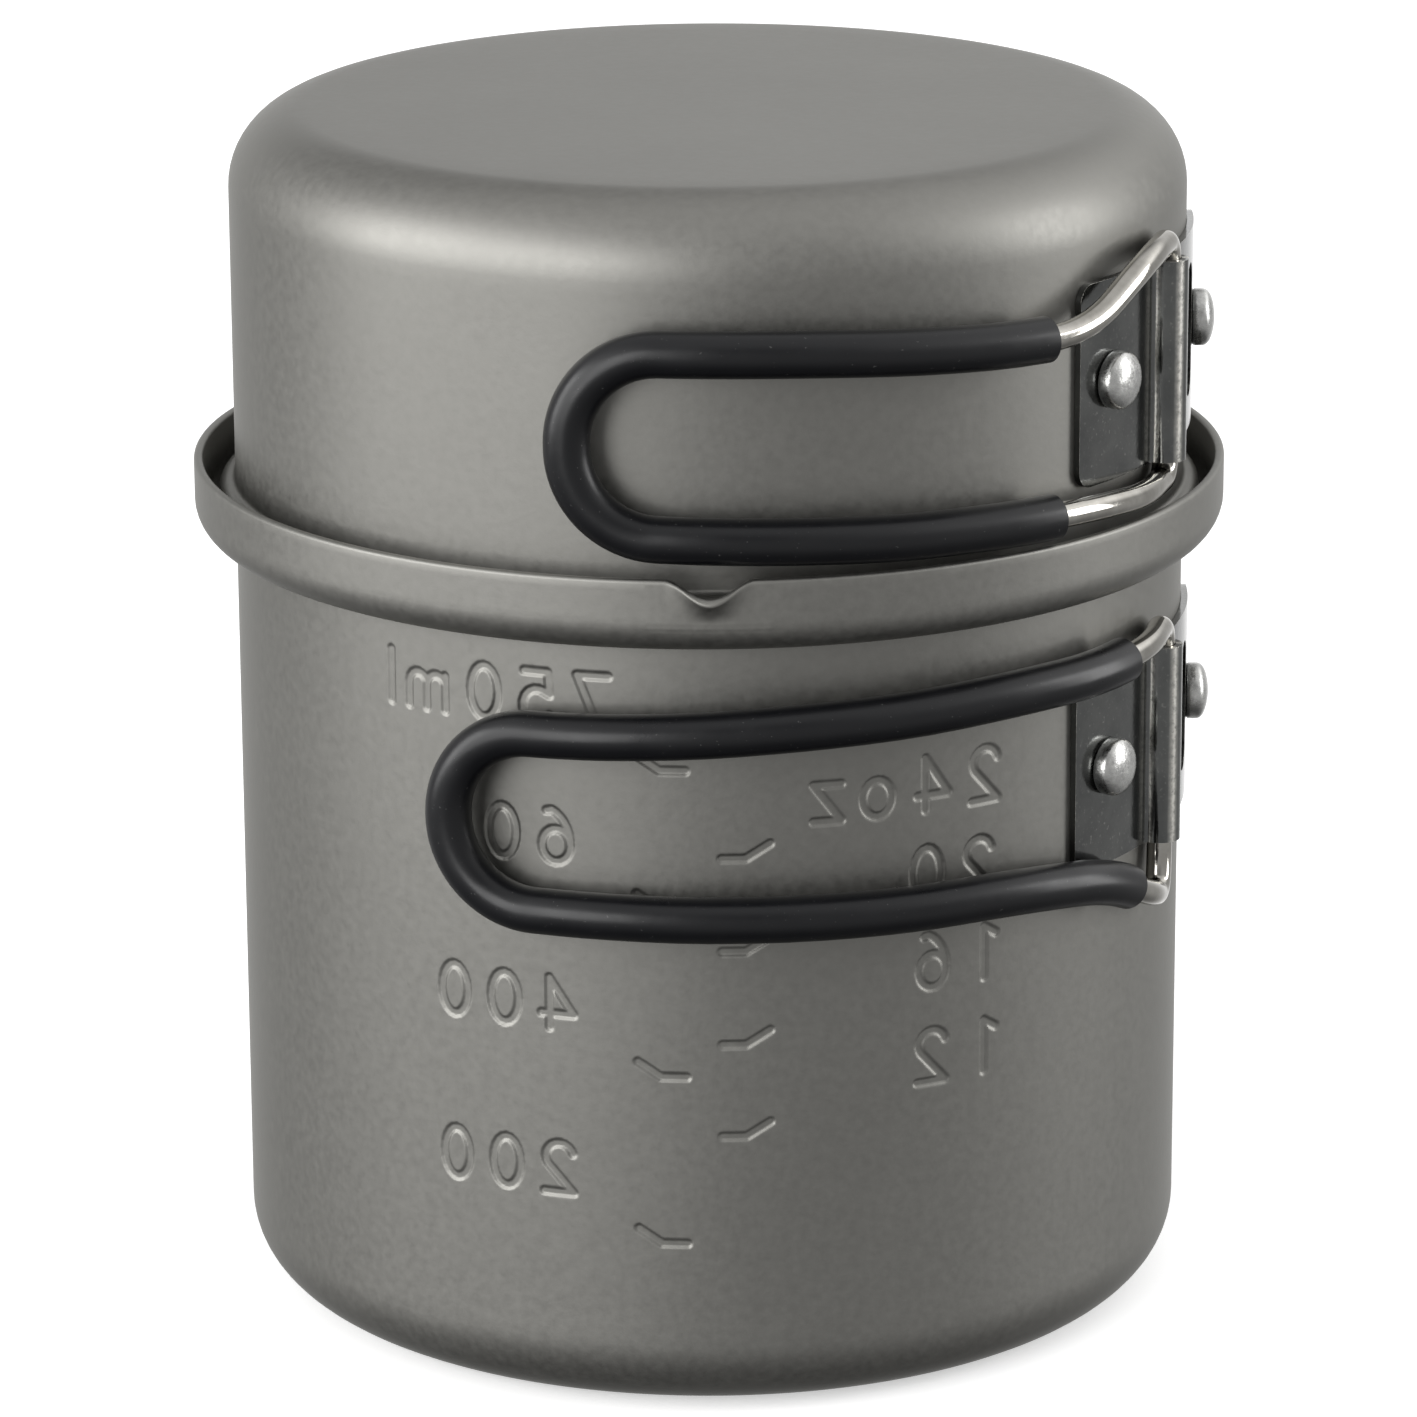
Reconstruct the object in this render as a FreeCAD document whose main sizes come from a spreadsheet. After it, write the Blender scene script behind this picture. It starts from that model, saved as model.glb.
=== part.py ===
import FreeCAD, Part
import math
import os

import Sketcher

# A nesting camp cooking set: a deep pot with a stepped rim and a pouring lip,
# and a lid that is a small pan turned over, its open edge standing in the rim.
# Each vessel carries one sheet bracket with two rivets, and one wire handle
# with a rubber sleeve, which turns on its two ends inside the bracket's hump.
# Millimetres, +Z up. The origin is the centre of the pot's flat base, and the
# pouring lip faces -Y. Azimuths are degrees from -Y towards +X.

PARTS = "parts"
os.makedirs(PARTS, exist_ok=True)

DIMENSIONS = [
    ("WallRadius", 56.6, "outer radius of both vessels' walls"),
    ("Gauge", 1.0, "sheet thickness of both vessels"),
    ("RimRadius", 61.5, "outer radius of the pot's stepped rim"),
    ("RimGauge", 1.1, "sheet thickness of the rim"),
    ("RimTop", 102.3, "height of the pot's rim"),
    ("RimHeight", 8.85, "height of the rim, under its step included"),
    ("RimBend", 3.85, "bend radius under the rim, outside"),
    ("BaseBend", 9.0, "bend radius round the pot's base, outside"),
    ("TotalHeight", 144.0, "height of the set, pan turned over on the pot"),
    ("PanEdge", 94.95, "height of the pan's open edge, inside the rim"),
    ("PanStep", 99.4, "height of the small step above the pan's edge"),
    ("PanStepRadius", 58.6, "outer radius below that step"),
    ("PanBend", 9.2, "bend radius round the pan's flat end, outside"),
    ("StepBend", 1.4, "bend radius of the pan's step, outside"),
    ("LipWidth", 13.2, "width of the pouring lip's tool"),
    ("LipReach", 1.5, "how far the lip's underside stands out of the rim"),
    ("LipDrop", 2.6, "how far the lip's underside is below the rim's top"),
    ("LipTilt", 45.0, "slope of the pouring lip"),
    ("LipSlope", 29.0, "slope of the two sides of the lip's V"),
    ("LipRound", 2.2, "radius at the bottom of the V, outside"),
    ("LipLength", 3.2, "length of the lip's outer V along its slope"),
    ("LipRoof", 3.6, "height of the outer V over its lowest line"),
    ("SpoutStart", 1.0, "how far the inner V starts beyond the lip's end"),
    ("SpoutLength", 6.5, "length of the inner V, which opens into the rim"),
    ("SpoutRoof", 9.0, "height of the inner V over its lowest line"),
    ("EdgeShare", 0.4, "share of the sheet's thickness that rounds its edges"),
    ("ShoulderShare", 0.6, "share of it that rounds the step inside the rim"),
    ("HingeAzimuth", 65.2, "azimuth of both hinges"),
    ("HingeRadius", 58.3, "distance of both hinge axes from the pot's axis"),
    ("WireRadius", 1.5, "radius of the handle wire"),
    ("HingeGap", 0.1, "radial clearance of the wire in the hump"),
    ("SleeveRadius", 2.65, "outer radius of the rubber sleeve"),
    ("PlateGap", 0.05, "gap between a wall and its bracket"),
    ("Plate", 0.8, "sheet thickness of the brackets"),
    ("BracketHeight", 23.8, "height of the brackets"),
    ("BracketCorner", 2.0, "corner radius of the brackets"),
    ("FrontWing", 18.0, "azimuth from the hinge to the front edge"),
    ("RearWing", 28.0, "azimuth from the hinge to the rear edge"),
    ("FrontRivet", 11.7, "azimuth from the hinge to the front rivet"),
    ("RearRivet", 21.2, "azimuth from the hinge to the rear rivet"),
    ("SlotAzimuth", 14.7, "azimuth from the hinge to the slot"),
    ("SlotWidth", 5.0, "width of the slot in the rear wing"),
    ("SlotHeight", 16.0, "height of that slot"),
    ("PotBracketBase", 60.4, "height of the pot bracket's lower edge"),
    ("PanBracketBase", 106.55, "height of the pan bracket's lower edge"),
    ("HeadRadius", 3.4, "radius of a rivet's head"),
    ("HeadHeight", 2.6, "height of a rivet's head"),
    ("HeadRound", 2.2, "radius round the top of a rivet's head"),
    ("ShankRadius", 1.6, "radius of a rivet's shank"),
    ("HoleRadius", 1.65, "radius of the rivet holes"),
    ("TailRadius", 3.0, "radius of a rivet's flat tail"),
    ("TailHeight", 1.0, "height of a rivet's flat tail"),
    ("TailGap", 0.1, "gap between a rivet's flat tail and the round wall"),
]

# Each wire's route from its upper pin to its lower pin: azimuth, height,
# radius from the pot's axis, and the bend's radius where it is a tight one.
PIN_BEND = 2.2
LOOP_BEND = 10.3
PAN_ROUTE = [
    (65.2, 122.0, 58.3, None),
    (65.2, 132.6, 58.3, PIN_BEND),
    (56.0, 132.4, 60.5, None),
    (44.5, 126.1, 60.8, None),
    (33.0, 126.3, 60.6, None),
    (21.0, 127.0, 60.6, None),
    (10.5, 127.6, 60.6, None),
    (0.5, 127.8, 60.6, None),
    (-15.1, 127.7, 60.6, LOOP_BEND),
    (-15.1, 106.8, 60.6, LOOP_BEND),
    (0.5, 106.5, 60.6, None),
    (10.5, 106.2, 60.6, None),
    (21.0, 105.8, 60.6, None),
    (34.5, 105.5, 60.6, None),
    (45.5, 105.3, 60.8, None),
    (56.0, 104.5, 60.3, None),
    (65.2, 104.3, 58.3, PIN_BEND),
    (65.2, 115.0, 58.3, None),
]
POT_ROUTE = [
    (65.2, 76.0, 58.3, None),
    (65.2, 86.7, 58.3, PIN_BEND),
    (57.5, 86.2, 60.4, None),
    (46.5, 85.6, 60.9, None),
    (34.0, 85.6, 60.7, None),
    (22.0, 85.0, 60.6, None),
    (10.0, 84.6, 60.6, None),
    (-2.0, 83.9, 60.6, None),
    (-13.7, 83.4, 60.6, None),
    (-29.4, 82.9, 60.6, LOOP_BEND),
    (-29.4, 62.2, 60.6, LOOP_BEND),
    (-13.7, 62.4, 60.6, None),
    (-2.0, 62.2, 60.6, None),
    (10.0, 62.1, 60.6, None),
    (22.0, 62.0, 60.6, None),
    (35.0, 61.9, 60.6, None),
    (48.5, 60.3, 60.8, None),
    (58.5, 55.8, 60.3, None),
    (63.6, 54.1, 58.8, None),
    (65.2, 58.2, 58.3, None),
    (65.2, 68.0, 58.3, None),
]
PAN_SLEEVE_RUNS = (3, 13)
POT_SLEEVE_RUNS = (2, 16)
BEND_SHARE = 0.45


# ---------------------------------------------------------------- the sheet

doc = FreeCAD.newDocument("cooking_pot_set")
sheet = doc.addObject("Spreadsheet::Sheet", "dims")
for row, (alias, value, note) in enumerate(DIMENSIONS, start=1):
    sheet.set(f"A{row}", alias)
    sheet.set(f"B{row}", str(value))
    sheet.set(f"C{row}", note)
    sheet.setAlias(f"B{row}", alias)
doc.recompute()


def size(alias):
    """A driving dimension's value."""
    return float(getattr(sheet, alias))


def bind(thing, **expressions):
    """Bind properties to expressions on the sheet; __ stands for a dot."""
    for name, expression in expressions.items():
        thing.setExpression(name.replace("__", "."), expression)


def round_point(azimuth, height, radius):
    """The point at an azimuth, a height and a distance from the axis."""
    angle = math.radians(azimuth)
    return FreeCAD.Vector(radius * math.sin(angle), -radius * math.cos(angle), height)


def facing(azimuth):
    """The turn that lays a piece's own +Z along the radius at an azimuth."""
    upright = FreeCAD.Rotation(FreeCAD.Vector(1, 0, 0), 90)
    return FreeCAD.Rotation(FreeCAD.Vector(0, 0, 1), azimuth) * upright


# ------------------------------------------------- features of a Body


def origin_plane(body, role):
    return next(part for part in body.Origin.OriginFeatures if part.Role == role)


def circle_sketch(body, name, radius, height="0"):
    """A circle round the body's own Z axis, at a height."""
    sketch = body.newObject("Sketcher::SketchObject", name)
    sketch.AttachmentSupport = [(origin_plane(body, "XY_Plane"), "")]
    sketch.MapMode = "FlatFace"
    sketch.addGeometry(Part.Circle(FreeCAD.Vector(0, 0, 0), FreeCAD.Vector(0, 0, 1), 10.0))
    sketch.addConstraint(Sketcher.Constraint("Coincident", 0, 3, -1, 1))
    ring = sketch.addConstraint(Sketcher.Constraint("Radius", 0, 10.0))
    sketch.renameConstraint(ring, "ring")
    bind(sketch, Constraints__ring=radius, AttachmentOffset__Base__z=height)
    return sketch


def disc(body, name, kind, radius, height, length, reverse=False):
    """A round Pad or Pocket from a height, up unless it is reversed."""
    sketch = circle_sketch(body, name + "_circle", radius, height)
    feature = body.newObject("PartDesign::" + kind, name)
    feature.Profile = sketch
    # A Pocket cuts against its sketch's normal, and a Pad adds along it.
    feature.Reversed = reverse != (kind == "Pocket")
    bind(feature, Length=length)
    sketch.Visibility = False
    doc.recompute()
    return feature


def ring_fillet(body, name, radius, rings):
    """Round the circular edges given as (radius, height) pairs."""
    shape = body.Tip.Shape
    names = []
    for number, edge in enumerate(shape.Edges, start=1):
        if not isinstance(edge.Curve, Part.Circle):
            continue
        here = (edge.Curve.Radius, edge.Curve.Center.z)
        if any(math.dist(here, ring) < 0.01 for ring in rings):
            names.append(f"Edge{number}")
    if len(names) < len(rings):
        raise RuntimeError(f"{name}: an edge to round is missing")
    fillet = body.newObject("PartDesign::Fillet", name)
    fillet.Base = (body.Tip if body.Tip is not fillet else fillet.BaseFeature, names)
    bind(fillet, Radius=radius)
    doc.recompute()
    return fillet


# ------------------------------------------------- Part primitives


def cylinder(name, radius, height, placement=None, sector=None):
    piece = doc.addObject("Part::Cylinder", name)
    bind(piece, Radius=radius, Height=height)
    if sector:
        bind(piece, Angle=sector)
    if placement:
        piece.Placement = placement
    return piece


def box(name, length, width, height, placement):
    piece = doc.addObject("Part::Box", name)
    bind(piece, Length=length, Width=width, Height=height)
    piece.Placement = placement
    return piece


def fuse(name, pieces):
    joined = doc.addObject("Part::MultiFuse", name)
    joined.Shapes = pieces
    return joined


def cut(name, base, tool):
    result = doc.addObject("Part::Cut", name)
    result.Base = base
    result.Tool = tool
    return result


RADIAL_TOOL_DEPTH = 8.0
THROAT_DEPTH = 4.0


def rivet_hole(name, azimuth, height):
    """A radial drill through a wall and its bracket."""
    start = round_point(azimuth, height, size("WallRadius") - RADIAL_TOOL_DEPTH / 2)
    placement = FreeCAD.Placement(start, facing(azimuth))
    return cylinder(name, "dims.HoleRadius", str(RADIAL_TOOL_DEPTH), placement)


def rivet_places(bracket_base):
    """Where a bracket's two rivets go: name, azimuth and height."""
    middle = bracket_base + size("BracketHeight") / 2
    hinge = size("HingeAzimuth")
    front = ("front", hinge - size("FrontRivet"), middle)
    rear = ("rear", hinge + size("RearRivet"), middle)
    return [front, rear]


# ------------------------------------------------- pot_body


def lip_prism(name, offset, top, start, length):
    """A prism with the pouring lip's V section, along the lip's slope.

    offset lifts the V by the sheet's thickness, top closes it above, and it
    runs inwards from start, measured along the slope from the lip's end.
    """
    slope = math.radians(size("LipSlope"))
    rounding = size("LipRound") - offset
    centre = size("LipRound")
    half = size("LipWidth") / 2
    touch_x = rounding * math.sin(slope)
    touch_y = centre - rounding * math.cos(slope)
    side_y = touch_y + (half - touch_x) * math.tan(slope)
    roof = max(top, side_y + 0.1)
    points = [(-half, side_y), (-touch_x, touch_y), (touch_x, touch_y), (half, side_y)]
    left, arc_from, arc_to, right = (FreeCAD.Vector(x, y, 0) for x, y in points)
    low = FreeCAD.Vector(0, centre - rounding, 0)
    edges = [
        Part.LineSegment(left, arc_from).toShape(),
        Part.Arc(arc_from, low, arc_to).toShape(),
        Part.LineSegment(arc_to, right).toShape(),
        Part.LineSegment(right, FreeCAD.Vector(half, roof, 0)).toShape(),
        Part.LineSegment(FreeCAD.Vector(half, roof, 0), FreeCAD.Vector(-half, roof, 0)).toShape(),
        Part.LineSegment(FreeCAD.Vector(-half, roof, 0), left).toShape(),
    ]
    face = Part.Face(Part.Wire(edges))
    prism = doc.addObject("Part::Feature", name)
    prism.Shape = face.extrude(FreeCAD.Vector(0, 0, -length)).removeSplitter()
    # The prism's own +Z is the slope, outwards and up, and its +Y is the V's open side.
    turn = FreeCAD.Rotation(FreeCAD.Vector(1, 0, 0), 90 - size("LipTilt"))
    tip = FreeCAD.Vector(
        0, -size("RimRadius") - size("LipReach"), size("RimTop") - size("LipDrop")
    )
    along = turn.multVec(FreeCAD.Vector(0, 0, 1))
    prism.Placement = FreeCAD.Placement(tip + along * start, turn)
    return prism


def make_pot_body():
    """The deep-drawn pot: wall, stepped rim, pouring lip and rivet holes."""
    body = doc.addObject("PartDesign::Body", "pot_shell")
    step = "dims.RimTop - dims.RimHeight"
    inner = "dims.WallRadius - dims.Gauge"
    rim_inner = "dims.RimRadius - dims.RimGauge"
    disc(body, "pot_wall", "Pad", "dims.WallRadius", "0", step)
    disc(body, "pot_rim", "Pad", "dims.RimRadius", step, "dims.RimHeight")
    disc(body, "pot_hollow", "Pocket", inner, "dims.Gauge", "dims.RimTop")
    disc(body, "rim_hollow", "Pocket", rim_inner, step + " + dims.RimGauge", "dims.RimHeight")
    step_height = size("RimTop") - size("RimHeight")
    inner_radius = size("WallRadius") - size("Gauge")
    shelf = step_height + size("RimGauge")
    rim_inner_radius = size("RimRadius") - size("RimGauge")
    ring_fillet(body, "pot_base_inside", "dims.BaseBend - dims.Gauge",
                [(inner_radius, size("Gauge"))])
    ring_fillet(body, "pot_base_bend", "dims.BaseBend", [(size("WallRadius"), 0)])
    ring_fillet(body, "rim_inside", "dims.RimBend - dims.RimGauge",
                [(rim_inner_radius, shelf)])
    ring_fillet(body, "rim_bend", "dims.RimBend", [(size("RimRadius"), step_height)])
    ring_fillet(body, "rim_shoulder", "dims.Gauge * dims.ShoulderShare", [(inner_radius, shelf)])
    top = size("RimTop")
    ring_fillet(body, "rim_edge", "dims.RimGauge * dims.EdgeShare",
                [(rim_inner_radius, top), (size("RimRadius"), top)])

    # The lip's sheet is the V less a second V inside it, and what it leaves
    # inside the rim is cleared by a cylinder above the rim's bend.
    outer_lip = lip_prism("lip_outside", 0.0, size("LipRoof"), 0.0, size("LipLength"))
    inner_lip = lip_prism("lip_inside", size("RimGauge"), size("SpoutRoof"),
                          size("SpoutStart"), size("SpoutLength"))
    clear_base = FreeCAD.Vector(0, 0, step_height + size("RimBend"))
    clearing = cylinder("rim_clearing", rim_inner, "dims.RimHeight",
                        FreeCAD.Placement(clear_base, FreeCAD.Rotation()))
    holes = [
        rivet_hole("pot_hole_" + name, azimuth, height)
        for name, azimuth, height in rivet_places(size("PotBracketBase"))
    ]
    lipped = fuse("pot_with_lip", [body, outer_lip])
    tools = fuse("pot_tools", [inner_lip, clearing] + holes)
    return cut("pot_body", lipped, tools)


# ------------------------------------------------- lid_pan


def make_lid_pan():
    """The lid: a shallow pan turned over, with a small step at its edge."""
    body = doc.addObject("PartDesign::Body", "pan_shell")
    disc(body, "pan_step", "Pad", "dims.PanStepRadius", "dims.PanEdge",
         "dims.PanStep - dims.PanEdge")
    disc(body, "pan_wall", "Pad", "dims.WallRadius", "dims.PanStep",
         "dims.TotalHeight - dims.PanStep")
    disc(body, "pan_hollow", "Pocket", "dims.WallRadius - dims.Gauge", "dims.PanEdge",
         "dims.TotalHeight - dims.Gauge - dims.PanEdge")
    disc(body, "step_hollow", "Pocket", "dims.PanStepRadius - dims.Gauge", "dims.PanEdge",
         "dims.PanStep - dims.Gauge - dims.PanEdge")
    inner_radius = size("WallRadius") - size("Gauge")
    ring_fillet(body, "pan_end_inside", "dims.PanBend - dims.Gauge",
                [(inner_radius, size("TotalHeight") - size("Gauge"))])
    ring_fillet(body, "pan_end_bend", "dims.PanBend",
                [(size("WallRadius"), size("TotalHeight"))])
    ring_fillet(body, "pan_step_inside", "dims.StepBend - dims.Gauge",
                [(size("PanStepRadius") - size("Gauge"), size("PanStep") - size("Gauge"))])
    ring_fillet(body, "pan_step_bend", "dims.StepBend",
                [(size("PanStepRadius"), size("PanStep"))])
    ring_fillet(body, "pan_edge", "dims.Gauge * dims.EdgeShare",
                [(size("PanStepRadius") - size("Gauge"), size("PanEdge")),
                 (size("PanStepRadius"), size("PanEdge"))])
    holes = [
        rivet_hole("pan_hole_" + name, azimuth, height)
        for name, azimuth, height in rivet_places(size("PanBracketBase"))
    ]
    return cut("lid_pan", body, fuse("pan_tools", holes))


# ------------------------------------------------- brackets


def make_bracket(label, base_alias):
    """A sheet bracket: two wings round the wall, and a hump over the pins."""
    base = size(base_alias)
    reach = 1.0

    def upright(azimuth, radius, height):
        turn = FreeCAD.Rotation(FreeCAD.Vector(0, 0, 1), azimuth - 90)
        return FreeCAD.Placement(round_point(azimuth, height, radius), turn)

    hinge = size("HingeAzimuth")
    front_edge = hinge - size("FrontWing")
    inside = "dims.WallRadius + dims.PlateGap"
    outside = inside + " + dims.Plate"
    wings = cylinder(label + "_wings", outside, "dims.BracketHeight",
                     upright(front_edge, 0, base), "dims.FrontWing + dims.RearWing")
    bore = "dims.WireRadius + dims.HingeGap"
    hump = cylinder(label + "_hump", bore + " + dims.Plate", "dims.BracketHeight",
                    upright(hinge, size("HingeRadius"), base))
    blank = fuse(label + "_blank", [wings, hump])

    tall = f"dims.BracketHeight + {2 * reach}"
    core = cylinder(label + "_core", inside, tall, upright(hinge, 0, base - reach))
    pin_bore = cylinder(label + "_bore", bore, tall,
                        upright(hinge, size("HingeRadius"), base - reach))
    # The hump is open towards the wall, as wide as its bore.
    half_throat = size("WireRadius") + size("HingeGap")
    corner = upright(hinge, size("HingeRadius") - THROAT_DEPTH, base - reach)
    corner = corner.multiply(FreeCAD.Placement(FreeCAD.Vector(0, -half_throat, 0),
                                               FreeCAD.Rotation()))
    throat = box(label + "_throat", str(THROAT_DEPTH), f"2 * ({bore})", tall, corner)

    # The upright slot in the rear wing: a box between two round ends.
    middle = base + size("BracketHeight") / 2
    azimuth = hinge + size("SlotAzimuth")
    start_radius = size("WallRadius") - RADIAL_TOOL_DEPTH / 2
    straight = size("SlotHeight") - size("SlotWidth")
    slot = []
    for end, height in (("top", middle + straight / 2), ("bottom", middle - straight / 2)):
        placement = FreeCAD.Placement(round_point(azimuth, height, start_radius), facing(azimuth))
        slot.append(cylinder(f"{label}_slot_{end}", "dims.SlotWidth / 2",
                             str(RADIAL_TOOL_DEPTH), placement))
    corner = round_point(azimuth, middle - straight / 2, start_radius)
    slot_turn = facing(azimuth)
    shift = slot_turn.multVec(FreeCAD.Vector(-size("SlotWidth") / 2, 0, 0))
    slot.append(box(label + "_slot_sides", "dims.SlotWidth", "dims.SlotHeight - dims.SlotWidth",
                    str(RADIAL_TOOL_DEPTH), FreeCAD.Placement(corner + shift, slot_turn)))
    holes = [
        rivet_hole(f"{label}_hole_{name}", azimuth, height)
        for name, azimuth, height in rivet_places(base)
    ]
    tools = fuse(label + "_tools", [core, pin_bore, throat] + slot + holes)
    square = cut(label + "_square", blank, tools)
    doc.recompute()

    corners = []
    for number, edge in enumerate(square.Shape.Edges, start=1):
        spot = edge.CenterOfMass
        turned = math.degrees(math.atan2(spot.x, -spot.y)) - hinge
        at_end = min(abs(turned + size("FrontWing")), abs(turned - size("RearWing"))) < 0.05
        at_level = min(abs(spot.z - base), abs(spot.z - base - size("BracketHeight"))) < 0.05
        if at_end and at_level:
            corners.append((number, size("BracketCorner"), size("BracketCorner")))
    if len(corners) != 4:
        raise RuntimeError(f"{label}: {len(corners)} corners found")
    bracket = doc.addObject("Part::Fillet", label)
    bracket.Base = square
    bracket.Edges = corners
    return bracket


# ------------------------------------------------- rivets


def make_rivet(label, azimuth, height):
    """A rivet: domed head outside, shank, and flat tail inside the wall."""
    rivet = doc.addObject("PartDesign::Body", label)
    grip = "dims.Plate + dims.PlateGap + dims.Gauge + dims.TailGap"
    disc(rivet, label + "_head", "Pad", "dims.HeadRadius", "0", "dims.HeadHeight")
    ring_fillet(rivet, label + "_dome", "dims.HeadRound",
                [(size("HeadRadius"), size("HeadHeight"))])
    disc(rivet, label + "_shank", "Pad", "dims.ShankRadius", "0", grip, reverse=True)
    disc(rivet, label + "_tail", "Pad", "dims.TailRadius", f"-({grip})", "dims.TailHeight",
         reverse=True)
    seat = size("WallRadius") + size("PlateGap") + size("Plate")
    rivet.Placement = FreeCAD.Placement(round_point(azimuth, height, seat), facing(azimuth))
    return rivet


# ------------------------------------------------- handle wires and sleeves


def bend_radii(points, tight):
    """The bend at each inner point: the tight one, or as large as its runs allow."""
    radii = []
    for before, here, after, given in zip(points, points[1:], points[2:], tight[1:]):
        arriving = here - before
        leaving = after - here
        half_turn = arriving.getAngle(leaving) / 2
        free = BEND_SHARE * min(arriving.Length, leaving.Length) / math.tan(half_turn)
        radii.append(given if given else free)
    return radii


def tube(points, radii, radius):
    """A round bar along straight runs joined by tangent arcs, and its length.

    The section travels along the runs and round the arcs, and leaves one
    cylindrical or toroidal face for each.
    """
    start = points[0]
    direction = (points[1] - points[0]).normalize()
    section = Part.Circle(start, direction, radius).toShape()
    faces = [Part.Face(Part.Wire([section]))]
    length = 0.0
    for before, here, after, bend in zip(points, points[1:], points[2:], radii):
        arriving = (here - before).normalize()
        leaving = (after - here).normalize()
        turn = arriving.getAngle(leaving)
        reach = bend * math.tan(turn / 2)
        run = here - arriving * reach - start
        faces.append(section.extrude(run))
        section = section.translated(run)
        inward = (leaving - arriving).normalize()
        centre = here + inward * (bend / math.cos(turn / 2))
        axis = arriving.cross(leaving).normalize()
        faces.append(section.revolve(centre, axis, math.degrees(turn)))
        section = section.rotated(centre, axis, math.degrees(turn))
        start = here + leaving * reach
        length += run.Length + bend * turn
    run = points[-1] - start
    faces.append(section.extrude(run))
    faces.append(Part.Face(Part.Wire([section.translated(run)])))
    length += run.Length
    shell = Part.makeShell(faces)
    shell.sewShape()
    solid = Part.makeSolid(shell)
    if solid.Volume < 0:
        solid.reverse()
    if abs(solid.Volume / (math.pi * radius**2 * length) - 1) > 0.001:
        raise RuntimeError("a tube's volume is not its section times its length")
    return solid, length


def make_handle(wire_label, sleeve_label, route, sleeve_runs):
    """The bent wire, and the sleeve from the middle of one run to another's."""
    points = [round_point(azimuth, height, radius) for azimuth, height, radius, _ in route]
    radii = bend_radii(points, [tight for _, _, _, tight in route])
    print(wire_label, "bends:", [round(radius, 1) for radius in radii])
    wire_solid, wire_length = tube(points, radii, size("WireRadius"))
    first, last = sleeve_runs
    sleeve_points = [(points[first] + points[first + 1]) * 0.5]
    sleeve_points += points[first + 1:last + 1]
    sleeve_points += [(points[last] + points[last + 1]) * 0.5]
    full, sleeve_length = tube(sleeve_points, radii[first:last], size("SleeveRadius"))
    wire = doc.addObject("Part::Feature", wire_label)
    wire.Shape = wire_solid
    sleeve = doc.addObject("Part::Feature", sleeve_label)
    sleeve.Shape = full.cut(wire_solid)
    print(wire_label, round(wire_length, 1), sleeve_label, round(sleeve_length, 1))
    return [wire, sleeve]


# ------------------------------------------------- the whole set

pieces = [make_pot_body(), make_lid_pan()]
for vessel, base_alias in (("pot", "PotBracketBase"), ("lid", "PanBracketBase")):
    pieces.append(make_bracket(vessel + "_bracket", base_alias))
    for name, azimuth, height in rivet_places(size(base_alias)):
        pieces.append(make_rivet(f"{vessel}_rivet_{name}", azimuth, height))
pieces += make_handle("pot_handle_wire", "pot_handle_sleeve", POT_ROUTE, POT_SLEEVE_RUNS)
pieces += make_handle("lid_handle_wire", "lid_handle_sleeve", PAN_ROUTE, PAN_SLEEVE_RUNS)
doc.recompute()

for thing in doc.Objects:
    if {"Invalid", "Error"} & set(thing.State):
        raise RuntimeError(f"{thing.Name} failed: {thing.State}")
for piece in pieces:
    if piece.Shape.isNull() or not piece.Shape.isValid() or len(piece.Shape.Solids) != 1:
        raise RuntimeError(f"{piece.Label} is not one valid solid, {len(piece.Shape.Solids)}")
for piece in pieces:
    piece.Shape.exportStep(os.path.join(PARTS, piece.Label + ".step"))
    print(piece.Label, round(piece.Shape.Volume, 1))
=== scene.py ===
import math

import bmesh
import bpy
from mathutils import Matrix, Vector, noise


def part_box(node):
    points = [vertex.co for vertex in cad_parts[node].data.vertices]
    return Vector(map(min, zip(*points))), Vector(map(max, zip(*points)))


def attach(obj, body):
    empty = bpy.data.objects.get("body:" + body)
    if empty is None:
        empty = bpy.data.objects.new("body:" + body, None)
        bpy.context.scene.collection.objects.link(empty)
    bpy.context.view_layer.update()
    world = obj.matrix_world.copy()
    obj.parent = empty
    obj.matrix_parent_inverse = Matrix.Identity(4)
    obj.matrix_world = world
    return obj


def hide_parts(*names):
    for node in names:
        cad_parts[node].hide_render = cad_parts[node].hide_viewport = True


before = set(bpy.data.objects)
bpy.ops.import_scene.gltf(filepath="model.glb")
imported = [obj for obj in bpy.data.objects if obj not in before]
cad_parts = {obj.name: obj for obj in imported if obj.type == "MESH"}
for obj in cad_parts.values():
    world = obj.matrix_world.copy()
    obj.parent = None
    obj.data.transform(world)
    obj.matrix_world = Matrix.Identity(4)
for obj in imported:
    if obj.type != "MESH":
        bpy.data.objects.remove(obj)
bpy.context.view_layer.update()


# ---------------------------------------------------------------------------
# Camera, floor and light. The set stands on a white light table and is seen
# from a little above, with a long lens. Three tall soft lights stand to the
# left of the camera and one to the right, in a room that is bright behind.

MM = 0.001
view_target = Vector((-0.2 * MM, 0.0, 69.2 * MM))
view_distance = 820.8 * MM
view_elevation = math.radians(16.62)
view_roll = math.radians(-0.28)
lens_length = 172.25
sensor_width = 36.0

camera_data = bpy.data.cameras.new("camera")
camera_data.sensor_width = sensor_width
camera_data.lens = lens_length
camera_data.clip_start = 0.01
camera = bpy.data.objects.new("camera", camera_data)
bpy.context.scene.collection.objects.link(camera)
camera.location = view_target + view_distance * Vector(
    (0.0, -math.cos(view_elevation), math.sin(view_elevation))
)
camera.rotation_euler = (Matrix.Rotation(math.pi / 2 - view_elevation, 4, "X")
                         @ Matrix.Rotation(view_roll, 4, "Z")).to_euler()
bpy.context.scene.camera = camera
bpy.context.scene.view_settings.view_transform = "Standard"


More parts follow.
